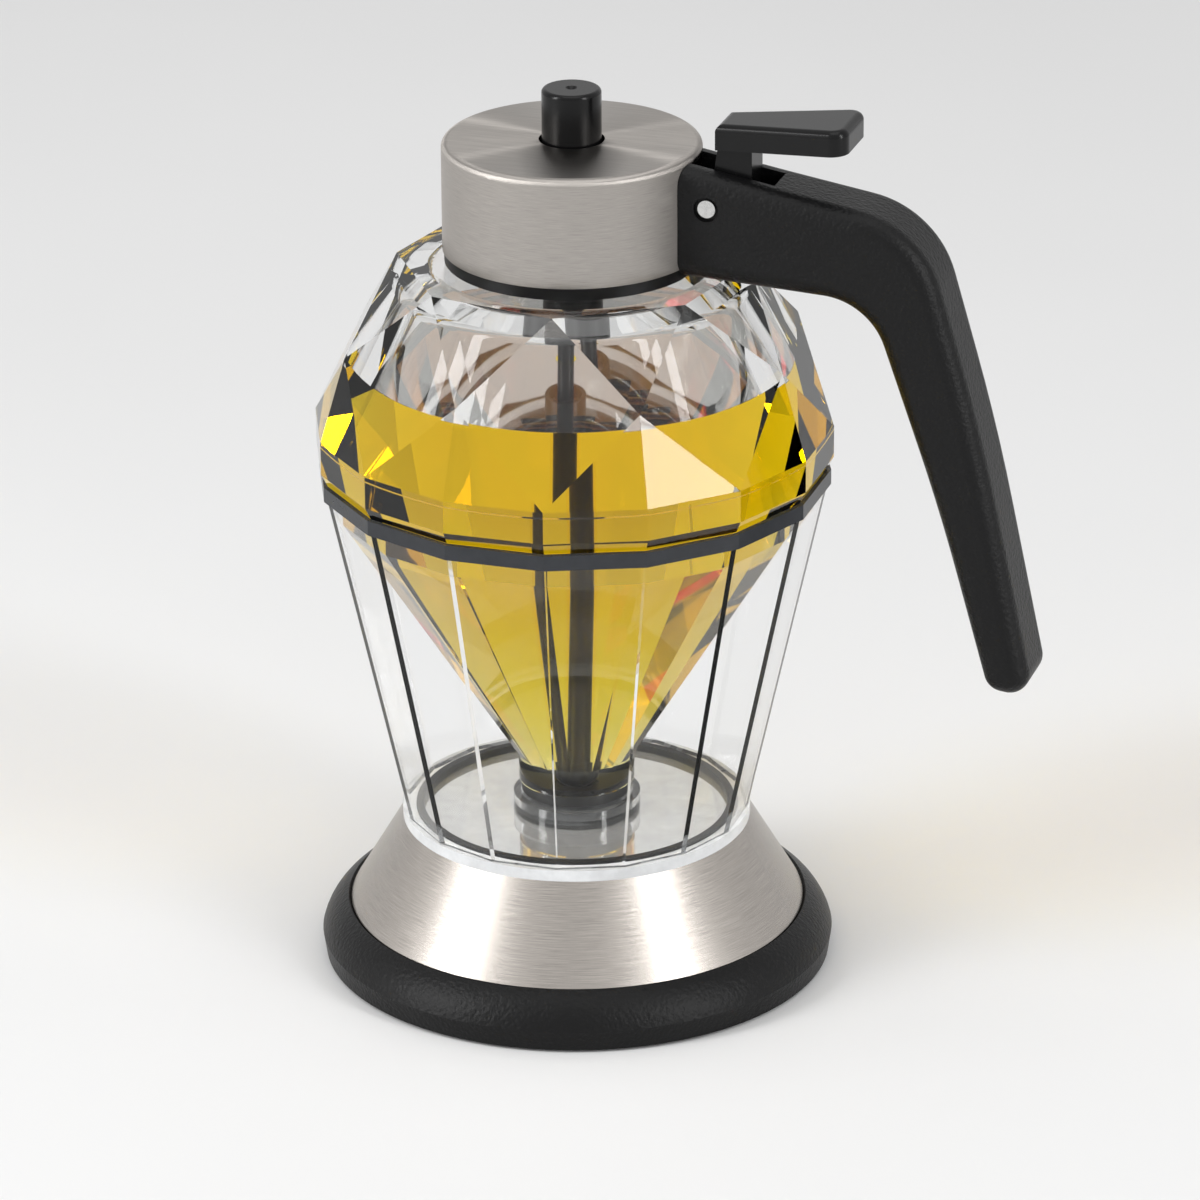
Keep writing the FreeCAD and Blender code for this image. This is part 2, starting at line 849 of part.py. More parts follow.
def thread_piece(inner, outer, start_angle, sweep, height, thickness):
    """A short length of right-hand thread between two radii, rising from one height."""
    lead = size("thread_lead").value
    spine_radius = (inner + outer) / 2
    helix = Part.makeHelix(lead, lead * sweep / 360.0, spine_radius)
    low = height - thickness / 2
    high = height + thickness / 2
    slope = thickness / 5
    corners = [Vector(inner, 0, low - height), Vector(outer, 0, low - height + slope),
               Vector(outer, 0, high - height - slope), Vector(inner, 0, high - height)]
    if inner > outer:
        corners.reverse()
    profile = Part.makePolygon(corners + corners[:1])
    solid = Part.Wire(helix.Edges).makePipeShell([profile], True, True)
    solid.rotate(Vector(), Vector(0, 0, 1), start_angle)
    solid.translate(Vector(0, 0, height))
    return solid


def ridge_angle(index):
    return 360.0 * index / int(size("thread_starts").value) + 60.0


def jar_glass():
    solid = crown_solid().fuse(jar_outside()).cut(jar_cavity(0))
    root = size("neck_radius").value
    for index in range(int(size("thread_starts").value)):
        ridge = thread_piece(root - 0.3, root + size("thread_height").value, ridge_angle(index),
                             size("ridge_sweep").value, thread_base_z.value,
                             size("thread_thickness").value)
        solid = solid.fuse(ridge)
    shaped("jar_glass", solid.removeSplitter())


def honey():
    fill = jar_cavity(size("seat_gap").value)
    level = honey_z.value
    wide = size("girdle_radius").value
    above = Part.makeCylinder(wide, neck_top.value, Vector(0, 0, level))
    clearance = size("seat_gap").value
    travel = Part.makeCylinder(size("plug_radius").value + clearance, level)
    shaped("honey", fill.cut(above).cut(travel))


def valve_seat():
    top = spout_foot_z
    bore = size("seat_bore")
    mouth = size("plug_radius") + 0.1
    turned("valve_seat", [
        (bore, seat_foot),
        (size("seat_radius"), seat_foot),
        (size("seat_radius"), top),
        (mouth, top),
        (bore, top - (mouth - bore)),
    ])


# Lid
def lid_gasket():
    inner = neck_bore - 0.7
    outer = inner + size("lid_seal_width")
    turned("lid_gasket", [
        (inner, lid_seal_foot),
        (outer, lid_seal_foot),
        (outer, lid_seal_foot + size("lid_seal_thickness")),
        (inner, lid_seal_foot + size("lid_seal_thickness")),
    ])


def lid_shell():
    outer = size("shell_radius")
    top = shell_top_z
    body = turned("lid_shell", [
        (shell_bore, shell_foot_z),
        (outer, shell_foot_z),
        (outer, top),
        (knob_hole, top),
        (knob_hole, shell_ceiling),
        (shell_bore, shell_ceiling),
    ])
    round_edges(body, "lid_shell_edge", size("shell_edge_radius"), circle_at(outer, top))
    side = half_screw_spacing
    holes = draw_circles(body, "lid_shell_screw_holes", "YZ_Plane",
                         [(side, handle_screw_z), (-side, handle_screw_z)],
                         size("handle_screw_shank") + size("fit_gap"))
    extrude(body, "Pocket", "lid_shell_screw_cut", holes, outer + 1, reverse=True)
    half = size("slot_width") / 2
    window = draw_outline(body, "lid_shell_window", "YZ_Plane", [
        (-half, deck_top),
        (half, deck_top),
        (half, shell_ceiling - 1),
        (-half, shell_ceiling - 1),
    ])
    extrude(body, "Pocket", "lid_shell_window_cut", window, outer + 1, reverse=True)


def lid_liner():
    body = turned("lid_liner_cup", [
        (liner_bore, band_foot_z),
        (size("band_radius"), band_foot_z),
        (size("band_radius"), shell_foot_z),
        (liner_radius, shell_foot_z),
        (liner_radius, deck_top),
        (size("guide_radius") + size("fit_gap"), deck_top),
        (size("guide_radius") + size("fit_gap"), deck_foot),
        (liner_bore, deck_foot),
    ])
    side = half_screw_spacing
    height = handle_screw_z
    centres = [(side, height), (-side, height)]
    holes = draw_circles(body, "liner_screw_holes", "YZ_Plane", centres,
                         size("handle_screw_shank") + size("fit_gap"))
    extrude(body, "Pocket", "liner_screw_cut", holes, liner_radius + 1, reverse=True)
    heads = draw_circles(body, "liner_head_holes", "YZ_Plane", centres, size("handle_screw_head") + 0.2)
    extrude(body, "Pocket", "liner_head_cut", heads, screw_seat, reverse=True)
    lugs = []
    thickness = size("thread_thickness").value
    gap = size("thread_gap").value
    tip = size("neck_radius").value + gap
    height = thread_base_z.value - thickness - gap
    for index in range(int(size("thread_starts").value)):
        lug = thread_piece(liner_bore.value + 0.3, tip, ridge_angle(index),
                           size("lug_sweep").value, height, thickness)
        lugs.append(lug)
    shaped("liner_lugs", Part.makeCompound(lugs))
    joined("lid_liner", [body, doc.getObject("liner_lugs")])


def stem_guide():
    outer = size("guide_radius")
    bore = size("guide_bore")
    rod_hole = size("rod_radius") + size("running_gap")
    stop = guide_stop_z
    stop_top = stop + size("guide_stop_thickness")
    foot = guide_foot_z
    turned("stem_guide", [
        (bore, foot),
        (outer, foot),
        (outer, deck_top),
        (bore, deck_top),
        (bore, stop_top),
        (rod_hole, stop_top),
        (rod_hole, stop),
        (bore, stop),
    ])


# Handle
def handle():
    body = new_body("handle")
    tip = shell_top_z - size("leg_tip_drop")
    lower_tip = tip - size("leg_tip_slope")
    root = size("shell_radius") - 2
    bend = size("leg_bend_radius")
    outline = draw_outline(body, "handle_outline", "XZ_Plane", [
        (root, shell_top_z - size("handle_root_foot_drop")),
        (size("handle_palm_reach"), shell_top_z - size("handle_palm_drop"), size("handle_palm_radius")),
        (size("leg_inner_reach"), shell_top_z - size("leg_inner_drop"), bend),
        (size("leg_tip_inner_reach"), tip, size("leg_tip_radius")),
        (size("leg_tip_outer_reach"), lower_tip, size("leg_tip_radius")),
        (size("leg_outer_reach"), shell_top_z - size("leg_outer_drop"), bend),
        (size("handle_shoulder_reach"), shell_top_z - size("handle_shoulder_drop"),
         size("handle_shoulder_radius")),
        (size("handle_bend_reach"), shell_top_z - size("handle_bend_drop"), bend / 3),
        (root, shell_top_z - size("handle_root_top_drop")),
    ])
    extrude(body, "Pad", "handle_blank", outline, size("handle_width"), midplane=True)
    half = size("handle_width").value / 2

    def side_edge(edge):
        ends = [edge.Vertexes[0].Point, edge.Vertexes[-1].Point]
        on_side = all(abs(abs(point.y) - half) < 1e-5 for point in ends)
        at_root = all(abs(point.x - root.value) < 1e-5 for point in ends)
        return on_side and not at_root and ends[0].y * ends[1].y > 0

    round_edges(body, "handle_edges_round", size("handle_edge_radius"), side_edge)
    saddle = draw_outline(body, "handle_saddle", "XZ_Plane", [
        (0, band_foot_z - 5),
        (handle_saddle, band_foot_z - 5),
        (handle_saddle, shell_top_z + 5),
        (0, shell_top_z + 5),
    ])
    groove = body.newObject("PartDesign::Groove", "handle_saddle_cut")
    groove.Profile = saddle
    groove.ReferenceAxis = (saddle, ["V_Axis"])
    groove.Angle = 360
    slot = draw_outline(body, "handle_slot", "XZ_Plane", [
        (0, shell_top_z - size("slot_floor_drop")),
        (size("slot_reach"), shell_top_z - size("slot_floor_drop")),
        (size("slot_reach"), knob_top_z),
        (0, knob_top_z),
    ])
    extrude(body, "Pocket", "handle_slot_cut", slot, size("slot_width"), midplane=True)
    centre = [(size("pin_reach"), pivot_z)]
    bore = draw_circles(body, "handle_pin_bore", "XZ_Plane", centre,
                        size("pin_radius") + size("fit_gap") / 2)
    extrude(body, "Pocket", "handle_pin_cut", bore, size("handle_width") + 1, midplane=True)
    for name, reverse in (("near", False), ("far", True)):
        recess = draw_circles(body, "handle_recess_" + name, "XZ_Plane", centre,
                              size("pin_recess_radius"))
        depth = size("handle_width") / 2 - size("pin_recess_depth")
        offset = depth if not reverse else -depth
        recess.setExpression(".AttachmentOffset.Base.z", offset.text)
        extrude(body, "Pocket", "handle_recess_cut_" + name, recess, size("pin_recess_depth") + 1,
                reverse=not reverse)
    side = half_screw_spacing
    holes = draw_circles(body, "handle_screw_holes", "YZ_Plane",
                         [(side, handle_screw_z), (-side, handle_screw_z)],
                         size("handle_screw_shank") + size("fit_gap"))
    extrude(body, "Pocket", "handle_screw_cut", holes,
            screw_seat + size("handle_screw_length") + 0.5, reverse=True)


def handle_screws():
    pieces = []
    turn = (Vector(0, 1, 0), 90)
    for name, side in (("left", half_screw_spacing), ("right", -half_screw_spacing)):
        height = handle_screw_z
        head = size("handle_screw_head_height")
        pieces.append(cylinder("handle_screw_head_" + name, size("handle_screw_head"), head,
                               (screw_seat - head, side, height), turn))
        pieces.append(cylinder("handle_screw_shank_" + name, size("handle_screw_shank"),
                               size("handle_screw_length"), (screw_seat, side, height), turn))
    joined("handle_screws", pieces)


def pivot_pin():
    length = size("handle_width") - 0.6
    cylinder("pivot_pin", size("pin_radius"), length,
             (size("pin_reach"), length / 2, pivot_z), (Vector(1, 0, 0), 90))


# Lever
def thumb_lever():
    body = new_body("thumb_lever")
    paddle_foot = paddle_foot_z
    rise = size("paddle_rise")
    thickness = size("paddle_thickness")
    inner = size("paddle_inner_reach")
    outer = size("paddle_outer_reach")
    side = draw_outline(body, "paddle_side", "XZ_Plane", [
        (inner, paddle_foot),
        (outer, paddle_foot + rise),
        (outer, paddle_foot + rise + thickness),
        (inner, paddle_foot + thickness),
    ])
    extrude(body, "Pad", "paddle", side, size("paddle_outer_width"), midplane=True)
    wide = size("paddle_outer_width") / 2
    narrow = size("paddle_inner_width") / 2
    for name, sign in (("left", 1), ("right", -1)):
        taper = draw_outline(body, "paddle_taper_" + name, "XY_Plane", [
            (inner, narrow * sign),
            (outer, wide * sign),
            (inner, (wide + 1) * sign),
        ])
        extrude(body, "Pocket", "paddle_taper_cut_" + name, taper, knob_top_z + 10,
                reverse=True)

    def outer_corner(edge):
        first = edge.Vertexes[0].Point
        last = edge.Vertexes[-1].Point
        return (abs(first.x - outer.value) < 1e-4 and abs(last.x - outer.value) < 1e-4
                and abs(first.y - last.y) < 1e-5 and abs(abs(first.y) - wide.value) < 1e-4)

    round_edges(body, "paddle_corner_round", size("paddle_corner_radius"), outer_corner)

    def upper_edge(edge):
        slope = rise.value / (outer.value - inner.value)
        return all(abs(point.z - paddle_foot.value - thickness.value
                       - (point.x - inner.value) * slope) < 1e-4
                   for point in edge.discretize(5))

    round_edges(body, "paddle_edge_round", size("paddle_edge_radius"), upper_edge)
    hub = size("hub_radius")
    pin_x = size("pin_reach")
    pin_z = pivot_z
    tip = size("fork_tip_radius")
    blade = draw_outline(body, "blade_outline", "XZ_Plane", [
        (size("fork_bridge_inner_reach"), pin_z - tip),
        (pin_x - hub, pin_z - tip),
        (pin_x, pin_z - hub),
        (size("neck_outer_reach"), pin_z),
        (size("neck_outer_reach"), paddle_foot + 1),
        (size("neck_inner_reach"), paddle_foot + 1),
        (size("neck_inner_reach") - 1, pin_z + hub),
        (pin_x - hub, pin_z + tip),
        (size("fork_bridge_inner_reach"), pin_z + tip),
    ])
    extrude(body, "Pad", "blade", blade, size("blade_width"), midplane=True)
    fork = draw_outline(body, "fork_outline", "XZ_Plane", [
        (0, pin_z - tip),
        (size("fork_bridge_outer_reach"), pin_z - tip),
        (size("fork_bridge_outer_reach"), pin_z + tip),
        (0, pin_z + tip),
        Arc(tip + 0.0001, -1),
    ])
    extrude(body, "Pad", "fork", fork, size("fork_width"), midplane=True)
    gap = size("fork_gap") / 2
    opening = draw_outline(body, "fork_opening", "XY_Plane", [
        (-(tip + 1), -gap),
        (size("fork_bridge_inner_reach"), -gap),
        (size("fork_bridge_inner_reach"), gap),
        (-(tip + 1), gap),
    ])
    extrude(body, "Pocket", "fork_gap_cut", opening, pin_z + tip + 1, reverse=True)
    bore = draw_circles(body, "lever_pin_bore", "XZ_Plane", [(pin_x, pin_z)],
                        size("pin_radius") + size("running_gap"))
    extrude(body, "Pocket", "lever_pin_cut", bore, size("blade_width") + 1, midplane=True)


# Stopper rod, knob and spring
def stem_rod():
    foot = spout_foot_z + size("plug_radius")
    turned("stem_rod", [
        (0, foot),
        (size("rod_radius"), foot),
        (size("rod_radius"), knob_flange_z),
        (0, knob_flange_z),
    ])


def valve_plug():
    radius = size("plug_radius")
    rod = size("rod_radius") + size("fit_gap")
    foot = spout_foot_z + size("seat_gap") - size("plug_reach")
    middle = foot + radius
    rod_foot = spout_foot_z + radius - size("fit_gap")
    turned("valve_plug", [
        (0, foot),
        Arc(radius + 0.0001, 1),
        (radius, middle),
        (radius, middle + size("plug_sleeve")),
        (rod, middle + size("plug_sleeve")),
        (rod, rod_foot),
        (0, rod_foot),
    ])


def top_knob():
    rod = size("rod_radius") + size("fit_gap")
    rod_top = knob_flange_z + size("fit_gap")
    flange_top = knob_flange_z + size("knob_flange_thickness")
    top = knob_top_z
    dimple = size("knob_dimple_radius")
    body = turned("top_knob", [
        (rod, knob_core_foot_z),
        (size("knob_core_radius"), knob_core_foot_z),
        (size("knob_core_radius"), knob_flange_z),
        (size("knob_flange_radius"), knob_flange_z),
        (size("knob_flange_radius"), flange_top),
        (size("knob_radius"), flange_top),
        (size("knob_radius"), top),
        (dimple, top),
        (0, top - size("knob_dimple_depth")),
        (0, rod_top),
        (rod, rod_top),
    ])
    round_edges(body, "top_knob_edge", size("knob_edge_radius"), circle_at(size("knob_radius"), top))


def spring_collar():
    rod = size("rod_radius") + size("fit_gap") / 2
    foot = clip_top - size("collar_clip_height")
    turned("spring_collar", [
        (rod, foot),
        (size("collar_clip_radius"), foot),
        (size("collar_clip_radius"), clip_top),
        (rod, clip_top),
    ])


def return_spring():
    wire = size("spring_wire").value / 2
    mean = (size("rod_radius").value + size("guide_bore").value) / 2
    low = spring_foot.value + wire
    height = size("spring_length").value - 2 * wire
    pitch = height / size("spring_turns").value
    helix = Part.makeHelix(pitch, height, mean)
    start = helix.Edges[0].valueAt(helix.Edges[0].FirstParameter)
    along = helix.Edges[0].tangentAt(helix.Edges[0].FirstParameter)
    section = Part.Wire(Part.Edge(Part.Circle(start, along, wire)))
    coil = Part.Wire(helix.Edges).makePipeShell([section], True, True)
    coil.translate(Vector(0, 0, low))
    shaped("return_spring", coil)
    print("spring gap between turns %.2f mm" % (pitch - 2 * wire))


PIECES = [
    foot_pad, base_plate, base_ring, base_cone, floor_disc, base_screws, collar_ring, floor_gasket,
    drip_cup, stand_wall, rim_gasket, jar_glass, honey, valve_seat, lid_gasket, lid_shell, lid_liner,
    stem_guide, handle, handle_screws, pivot_pin, thumb_lever, stem_rod, valve_plug, top_knob,
    spring_collar, return_spring,
]

for build in PIECES:
    build()
doc.recompute()

faults = []
for item in doc.Objects:
    if "Invalid" in item.State or "Error" in item.State:
        faults.append("%s %s" % (item.Label, item.State))
parts = {}
for build in PIECES:
    label = build.__name__
    shape = doc.getObjectsByLabel(label)[0].Shape
    if shape.isNull() or not shape.isValid() or not shape.Solids:
        faults.append("%s has no valid shape" % label)
    parts[label] = shape
if faults:
    raise RuntimeError("; ".join(faults))

os.makedirs("parts", exist_ok=True)
for label, shape in parts.items():
    shape.exportStep("parts/%s.step" % label)
    print("%-16s solids %d volume %.1f" % (label, len(shape.Solids), shape.Volume))
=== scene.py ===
"""Looks of the honey dispenser: materials, honey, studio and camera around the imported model."""
import math

import bpy
from mathutils import Matrix, Vector


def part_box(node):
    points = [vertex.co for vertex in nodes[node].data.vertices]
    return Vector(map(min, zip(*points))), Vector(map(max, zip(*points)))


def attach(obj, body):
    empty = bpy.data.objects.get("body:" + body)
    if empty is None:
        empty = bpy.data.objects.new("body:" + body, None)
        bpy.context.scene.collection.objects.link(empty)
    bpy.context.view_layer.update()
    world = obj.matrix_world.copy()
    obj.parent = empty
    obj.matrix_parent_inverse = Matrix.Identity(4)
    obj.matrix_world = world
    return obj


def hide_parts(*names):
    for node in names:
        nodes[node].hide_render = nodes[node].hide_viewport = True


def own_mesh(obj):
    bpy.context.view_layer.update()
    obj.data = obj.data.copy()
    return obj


# Camera: metres, radians, and millimetres for the lens
CAMERA_AZIMUTH = math.radians(18.0)
CAMERA_DISTANCE = 1.001
CAMERA_HEIGHT = 0.4769
CAMERA_PITCH = math.radians(22.520)
CAMERA_YAW = math.radians(0.233)
CAMERA_ROLL = math.radians(0.337)
SENSOR_WIDTH = 36.0
LENS = 198.3

# Studio: metres and strengths
FLOOR_RADIUS = 1.6
FLOOR_SIDES = 96
FLOOR_TONES = ((0.84, 0.84, 0.84), (0.86, 0.86, 0.86))
LAMP_TARGET = Vector((0.0, 0.0, 0.07))
AMBIENT_STRENGTH = 0.5
BACKDROP_STRENGTH = 0.95
BACKDROP_COLOR = (0.8, 0.8, 0.8, 1.0)
WHITE = (1.0, 1.0, 1.0)

# Texture scales, in cells per metre
BRUSH_SCALE = 9000.0
STRAIGHT_BRUSH_SCALE = 5400.0
GRAIN_SCALE = 1500.0
FINE_GRAIN_SCALE = 2550.0
TURNING_SCALE = 1400.0
MOULD_SCALE = 900.0
POLISH_SCALE = 300.0
FLOW_SCALE = 260.0
WAVE_SCALE = 90.0
RIPPLE_SCALE = 70.0
SWIRL_SCALE = 60.0
FLOOR_CLOUD_SCALE = 6.0

# Relief depths, in metres
BRUSH_DEPTH = 0.00004
MOULD_DEPTH = 0.00005
GRAIN_DEPTH = 0.00012
RIPPLE_DEPTH = 0.0003
WAVE_DEPTH = 0.0004

# Brush lines: how little they change along their own direction
TURNED_STRETCH = 0.0006
STRAIGHT_STRETCH = (0.02, 1.0, 0.02)

# A face whose normal rises more than this looks up
UPWARD = 0.9

# Clear bodies and honey
GLASS_IOR = 1.5
PLASTIC_IOR = 1.49
HONEY_IOR = 1.5
INWARD_MARGIN = 0.0002
SURFACE_GLOSS = 0.45
HONEY_ABSORBED = (0.984, 0.925, 0.12, 1.0)
HONEY_DENSITY = 100.0

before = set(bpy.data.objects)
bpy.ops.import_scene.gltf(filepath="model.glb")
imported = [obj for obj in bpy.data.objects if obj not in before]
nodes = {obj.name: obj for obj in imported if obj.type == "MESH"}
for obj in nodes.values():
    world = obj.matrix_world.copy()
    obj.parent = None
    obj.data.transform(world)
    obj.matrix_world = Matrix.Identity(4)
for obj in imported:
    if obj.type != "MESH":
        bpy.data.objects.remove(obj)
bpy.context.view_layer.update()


# Small helpers
def new_object(name, data):
    """Put a new object with this data into the scene."""
    item = bpy.data.objects.new(name, data)
    bpy.context.scene.collection.objects.link(item)
    return item


def tinted(color, share):
    return tuple(channel * share for channel in color)


def feed(tree, value, socket):
    """Link another node's output to a socket, or set the socket to a plain value."""
    if isinstance(value, bpy.types.NodeSocket):
        tree.links.new(value, socket)
    else:
        socket.default_value = value


def add_node(tree, kind, sockets=None, **settings):
    """Add a shader node with its settings and what its sockets hold."""
    node = tree.nodes.new(kind)
    for name, value in settings.items():
        setattr(node, name, value)
    for name, value in (sockets or {}).items():
        feed(tree, value, node.inputs[name])
    return node


def new_material(name, sockets):
    """A material whose main shader has these values."""
    material = bpy.data.materials.new(name)
    material.use_nodes = True
    tree = material.node_tree
    shader = tree.nodes["Principled BSDF"]
    for socket, value in sockets.items():
        feed(tree, value, shader.inputs[socket])
    return material, tree, shader


def number(tree, operation, first, second):
    """A maths node whose two inputs are numbers or other nodes' outputs."""
    node = add_node(tree, "ShaderNodeMath", operation=operation)
    feed(tree, first, node.inputs[0])
    feed(tree, second, node.inputs[1])
    return node.outputs["Value"]


def mixed(tree, factor, first, second):
    """Mix two shaders: a factor of 0 gives the first, and 1 the second."""
    node = add_node(tree, "ShaderNodeMixShader", {"Fac": factor})
    tree.links.new(first, node.inputs[1])
    tree.links.new(second, node.inputs[2])
    return node.outputs["Shader"]


def object_position(tree):
    return add_node(tree, "ShaderNodeTexCoord").outputs["Object"]


def split(tree, vector):
    return add_node(tree, "ShaderNodeSeparateXYZ", {"Vector": vector}).outputs


def ray_is(tree, kind):
    """1 for rays of this kind, such as Is Shadow Ray, and 0 for others."""
    return add_node(tree, "ShaderNodeLightPath").outputs[kind]


def noise(tree, vector, scale, detail=2.0, roughness=0.5):
    sockets = {"Scale": scale, "Detail": detail, "Roughness": roughness, "Vector": vector}
    return add_node(tree, "ShaderNodeTexNoise", sockets).outputs["Fac"]


def vary_color(tree, shader, factor, dark, light, start=0.3, end=0.7):
    """Blend the base colour from dark to light while a factor goes from start to end."""
    blend = add_node(tree, "ShaderNodeValToRGB", {"Fac": factor})
    stops = ((start, dark), (end, light))
    for element, (position, color) in zip(blend.color_ramp.elements, stops):
        element.position = position
        element.color = (*color, 1.0)
    feed(tree, blend.outputs["Color"], shader.inputs["Base Color"])


def vary_roughness(tree, shader, factor, low, high):
    """Map a 0 to 1 factor onto a range of roughness."""
    spread = add_node(tree, "ShaderNodeMapRange", {"To Min": low, "To Max": high, "Value": factor})
    feed(tree, spread.outputs["Result"], shader.inputs["Roughness"])


def bump(tree, shader, height, strength, depth):
    relief = add_node(tree, "ShaderNodeBump",
                      {"Strength": strength, "Distance": depth, "Height": height})
    feed(tree, relief.outputs["Normal"], shader.inputs["Normal"])


def pass_light(tree, surface, color, factor):
    """Let rays go straight through, tinted, where the factor is 1."""
    passing = add_node(tree, "ShaderNodeBsdfTransparent", {"Color": (*color, 1.0)})
    result = mixed(tree, factor, surface, passing.outputs["BSDF"])
    feed(tree, result, tree.nodes["Material Output"].inputs["Surface"])


# Materials
def turned_lines(tree):
    """Fine lines round the axis, as a lathe leaves them."""
    place = split(tree, object_position(tree))
    turn = number(tree, "ARCTAN2", place["Y"], place["X"])
    slow_turn = number(tree, "MULTIPLY", turn, TURNED_STRETCH)
    join = add_node(tree, "ShaderNodeCombineXYZ", {"X": slow_turn, "Z": place["Z"]})
    return noise(tree, join.outputs["Vector"], BRUSH_SCALE, detail=3.0, roughness=0.7)


def straight_lines(tree):
    """Fine lines along X."""
    stretched = add_node(tree, "ShaderNodeMapping",
                         {"Scale": STRAIGHT_STRETCH, "Vector": object_position(tree)})
    return noise(tree, stretched.outputs["Vector"], STRAIGHT_BRUSH_SCALE, detail=3.0, roughness=0.7)


def brushed_metal(name, color, roughness, stretch, linear_top):
    """Metal brushed round the axis, and with a linear top along X where a face looks up."""
    material, tree, shader = new_material(name, {"Metallic": 1.0, "Anisotropic": stretch})
    lines = turned_lines(tree)
    if linear_top:
        normal = add_node(tree, "ShaderNodeNewGeometry").outputs["Normal"]
        upward = number(tree, "GREATER_THAN", split(tree, normal)["Z"], UPWARD)
        choice = add_node(tree, "ShaderNodeMix",
                          {"Factor": upward, "A": lines, "B": straight_lines(tree)})
        lines = choice.outputs["Result"]
    vary_color(tree, shader, lines, tinted(color, 0.72), color)
    vary_roughness(tree, shader, lines, low=roughness * 0.8, high=roughness * 1.25)
    bump(tree, shader, lines, strength=0.25, depth=BRUSH_DEPTH)
    tangent = add_node(tree, "ShaderNodeTangent", direction_type="RADIAL", axis="Z")
    feed(tree, tangent.outputs["Tangent"], shader.inputs["Tangent"])
    return material


def grained_plastic(name, color, roughness, strength):
    """Moulded plastic with a fine leathery grain."""
    material, tree, shader = new_material(name, {"Specular IOR Level": 0.2})
    position = object_position(tree)
    cells = add_node(tree, "ShaderNodeTexVoronoi", {"Scale": GRAIN_SCALE, "Vector": position},
                     feature="SMOOTH_F1")
    fine = noise(tree, position, FINE_GRAIN_SCALE, detail=3.0, roughness=0.6)
    vary_color(tree, shader, fine, color, tinted(color, 1.35), end=0.75)
    vary_roughness(tree, shader, fine, low=roughness * 0.9, high=roughness * 1.12)
    height = number(tree, "ADD", cells.outputs["Distance"], fine)
    bump(tree, shader, height, strength, GRAIN_DEPTH)
    return material


def smooth_plastic(name, color, roughness, strength=0.06, coat=0.0):
    """Smooth moulded plastic or rubber with faint flow marks."""
    sockets = {"Specular IOR Level": 0.22, "Coat Weight": coat, "Coat Roughness": 0.08}
    material, tree, shader = new_material(name, sockets)
    position = object_position(tree)
    flow = noise(tree, position, FLOW_SCALE, detail=4.0, roughness=0.6)
    vary_color(tree, shader, flow, color, tinted(color, 1.2), start=0.35)
    vary_roughness(tree, shader, flow, low=roughness * 0.9, high=roughness * 1.1)
    bump(tree, shader, noise(tree, position, MOULD_SCALE), strength, MOULD_DEPTH)
    return material


def bright_steel(name, color, roughness):
    """Small steel parts, turned and lightly polished."""
    material, tree, shader = new_material(name, {"Metallic": 1.0})
    marks = noise(tree, object_position(tree), TURNING_SCALE, detail=3.0, roughness=0.6)
    vary_color(tree, shader, marks, tinted(color, 0.8), color)
    vary_roughness(tree, shader, marks, low=roughness * 0.8, high=roughness * 1.2)
    return material


def mirror_floor():
    """The pale polished disc that mirrors the outlet above it."""
    material, tree, shader = new_material("pale_floor", {"Metallic": 0.75})
    marks = noise(tree, object_position(tree), POLISH_SCALE, detail=3.0, roughness=0.6)
    vary_color(tree, shader, marks, dark=(0.70, 0.70, 0.69), light=(0.78, 0.78, 0.77))
    vary_roughness(tree, shader, marks, low=0.03, high=0.09)
    return material


def clear_shader(name, color, ior, roughness, haze, reflection):
    """Glass or clear plastic with faint waves, which still casts a full shadow."""
    sockets = {"Base Color": (*color, 1.0), "Transmission Weight": 1.0, "IOR": ior,
               "Specular Tint": (reflection, reflection, reflection, 1.0)}
    material, tree, shader = new_material(name, sockets)
    waves = noise(tree, object_position(tree), WAVE_SCALE)
    vary_roughness(tree, shader, waves, low=roughness * 0.6, high=roughness)
    bump(tree, shader, waves, haze, WAVE_DEPTH)
    return material, tree, shader


def clear_body(name, color, ior, roughness, haze, reflection):
    """A clear body that lets the lamps' light through."""
    material, tree, shader = clear_shader(name, color, ior, roughness, haze, reflection)
    pass_light(tree, shader.outputs["BSDF"], color, ray_is(tree, "Is Shadow Ray"))
    return material


def wetted_glass(name, color, level):
    """Jar glass. Honey wets its inside up to a level, and bounced rays go straight on there."""
    material, tree, shader = clear_shader(name, color, GLASS_IOR, roughness=0.012, haze=0.02,
                                          reflection=0.8)
    coordinates = add_node(tree, "ShaderNodeTexCoord").outputs
    place = split(tree, coordinates["Object"])
    facing = split(tree, coordinates["Normal"])
    radial = number(tree, "ADD",
                    number(tree, "MULTIPLY", place["X"], facing["X"]),
                    number(tree, "MULTIPLY", place["Y"], facing["Y"]))
    back = add_node(tree, "ShaderNodeNewGeometry").outputs["Backfacing"]
    sign = number(tree, "SUBTRACT", 1.0, number(tree, "MULTIPLY", back, 2.0))
    inward = number(tree, "LESS_THAN", number(tree, "MULTIPLY", radial, sign), -INWARD_MARGIN)
    below = number(tree, "LESS_THAN", place["Z"], level)
    bounced = number(tree, "SUBTRACT", 1.0, ray_is(tree, "Is Camera Ray"))
    wet = number(tree, "MULTIPLY", number(tree, "MULTIPLY", inward, below), bounced)
    factor = number(tree, "MAXIMUM", wet, ray_is(tree, "Is Shadow Ray"))
    pass_light(tree, shader.outputs["BSDF"], color, factor)
    return material


def honey_depth(tree):
    """The deeper light travels in honey, the more golden it turns."""
    depth = add_node(tree, "ShaderNodeVolumeAbsorption",
                     {"Color": HONEY_ABSORBED, "Density": HONEY_DENSITY})
    feed(tree, depth.outputs["Volume"], tree.nodes["Material Output"].inputs["Volume"])


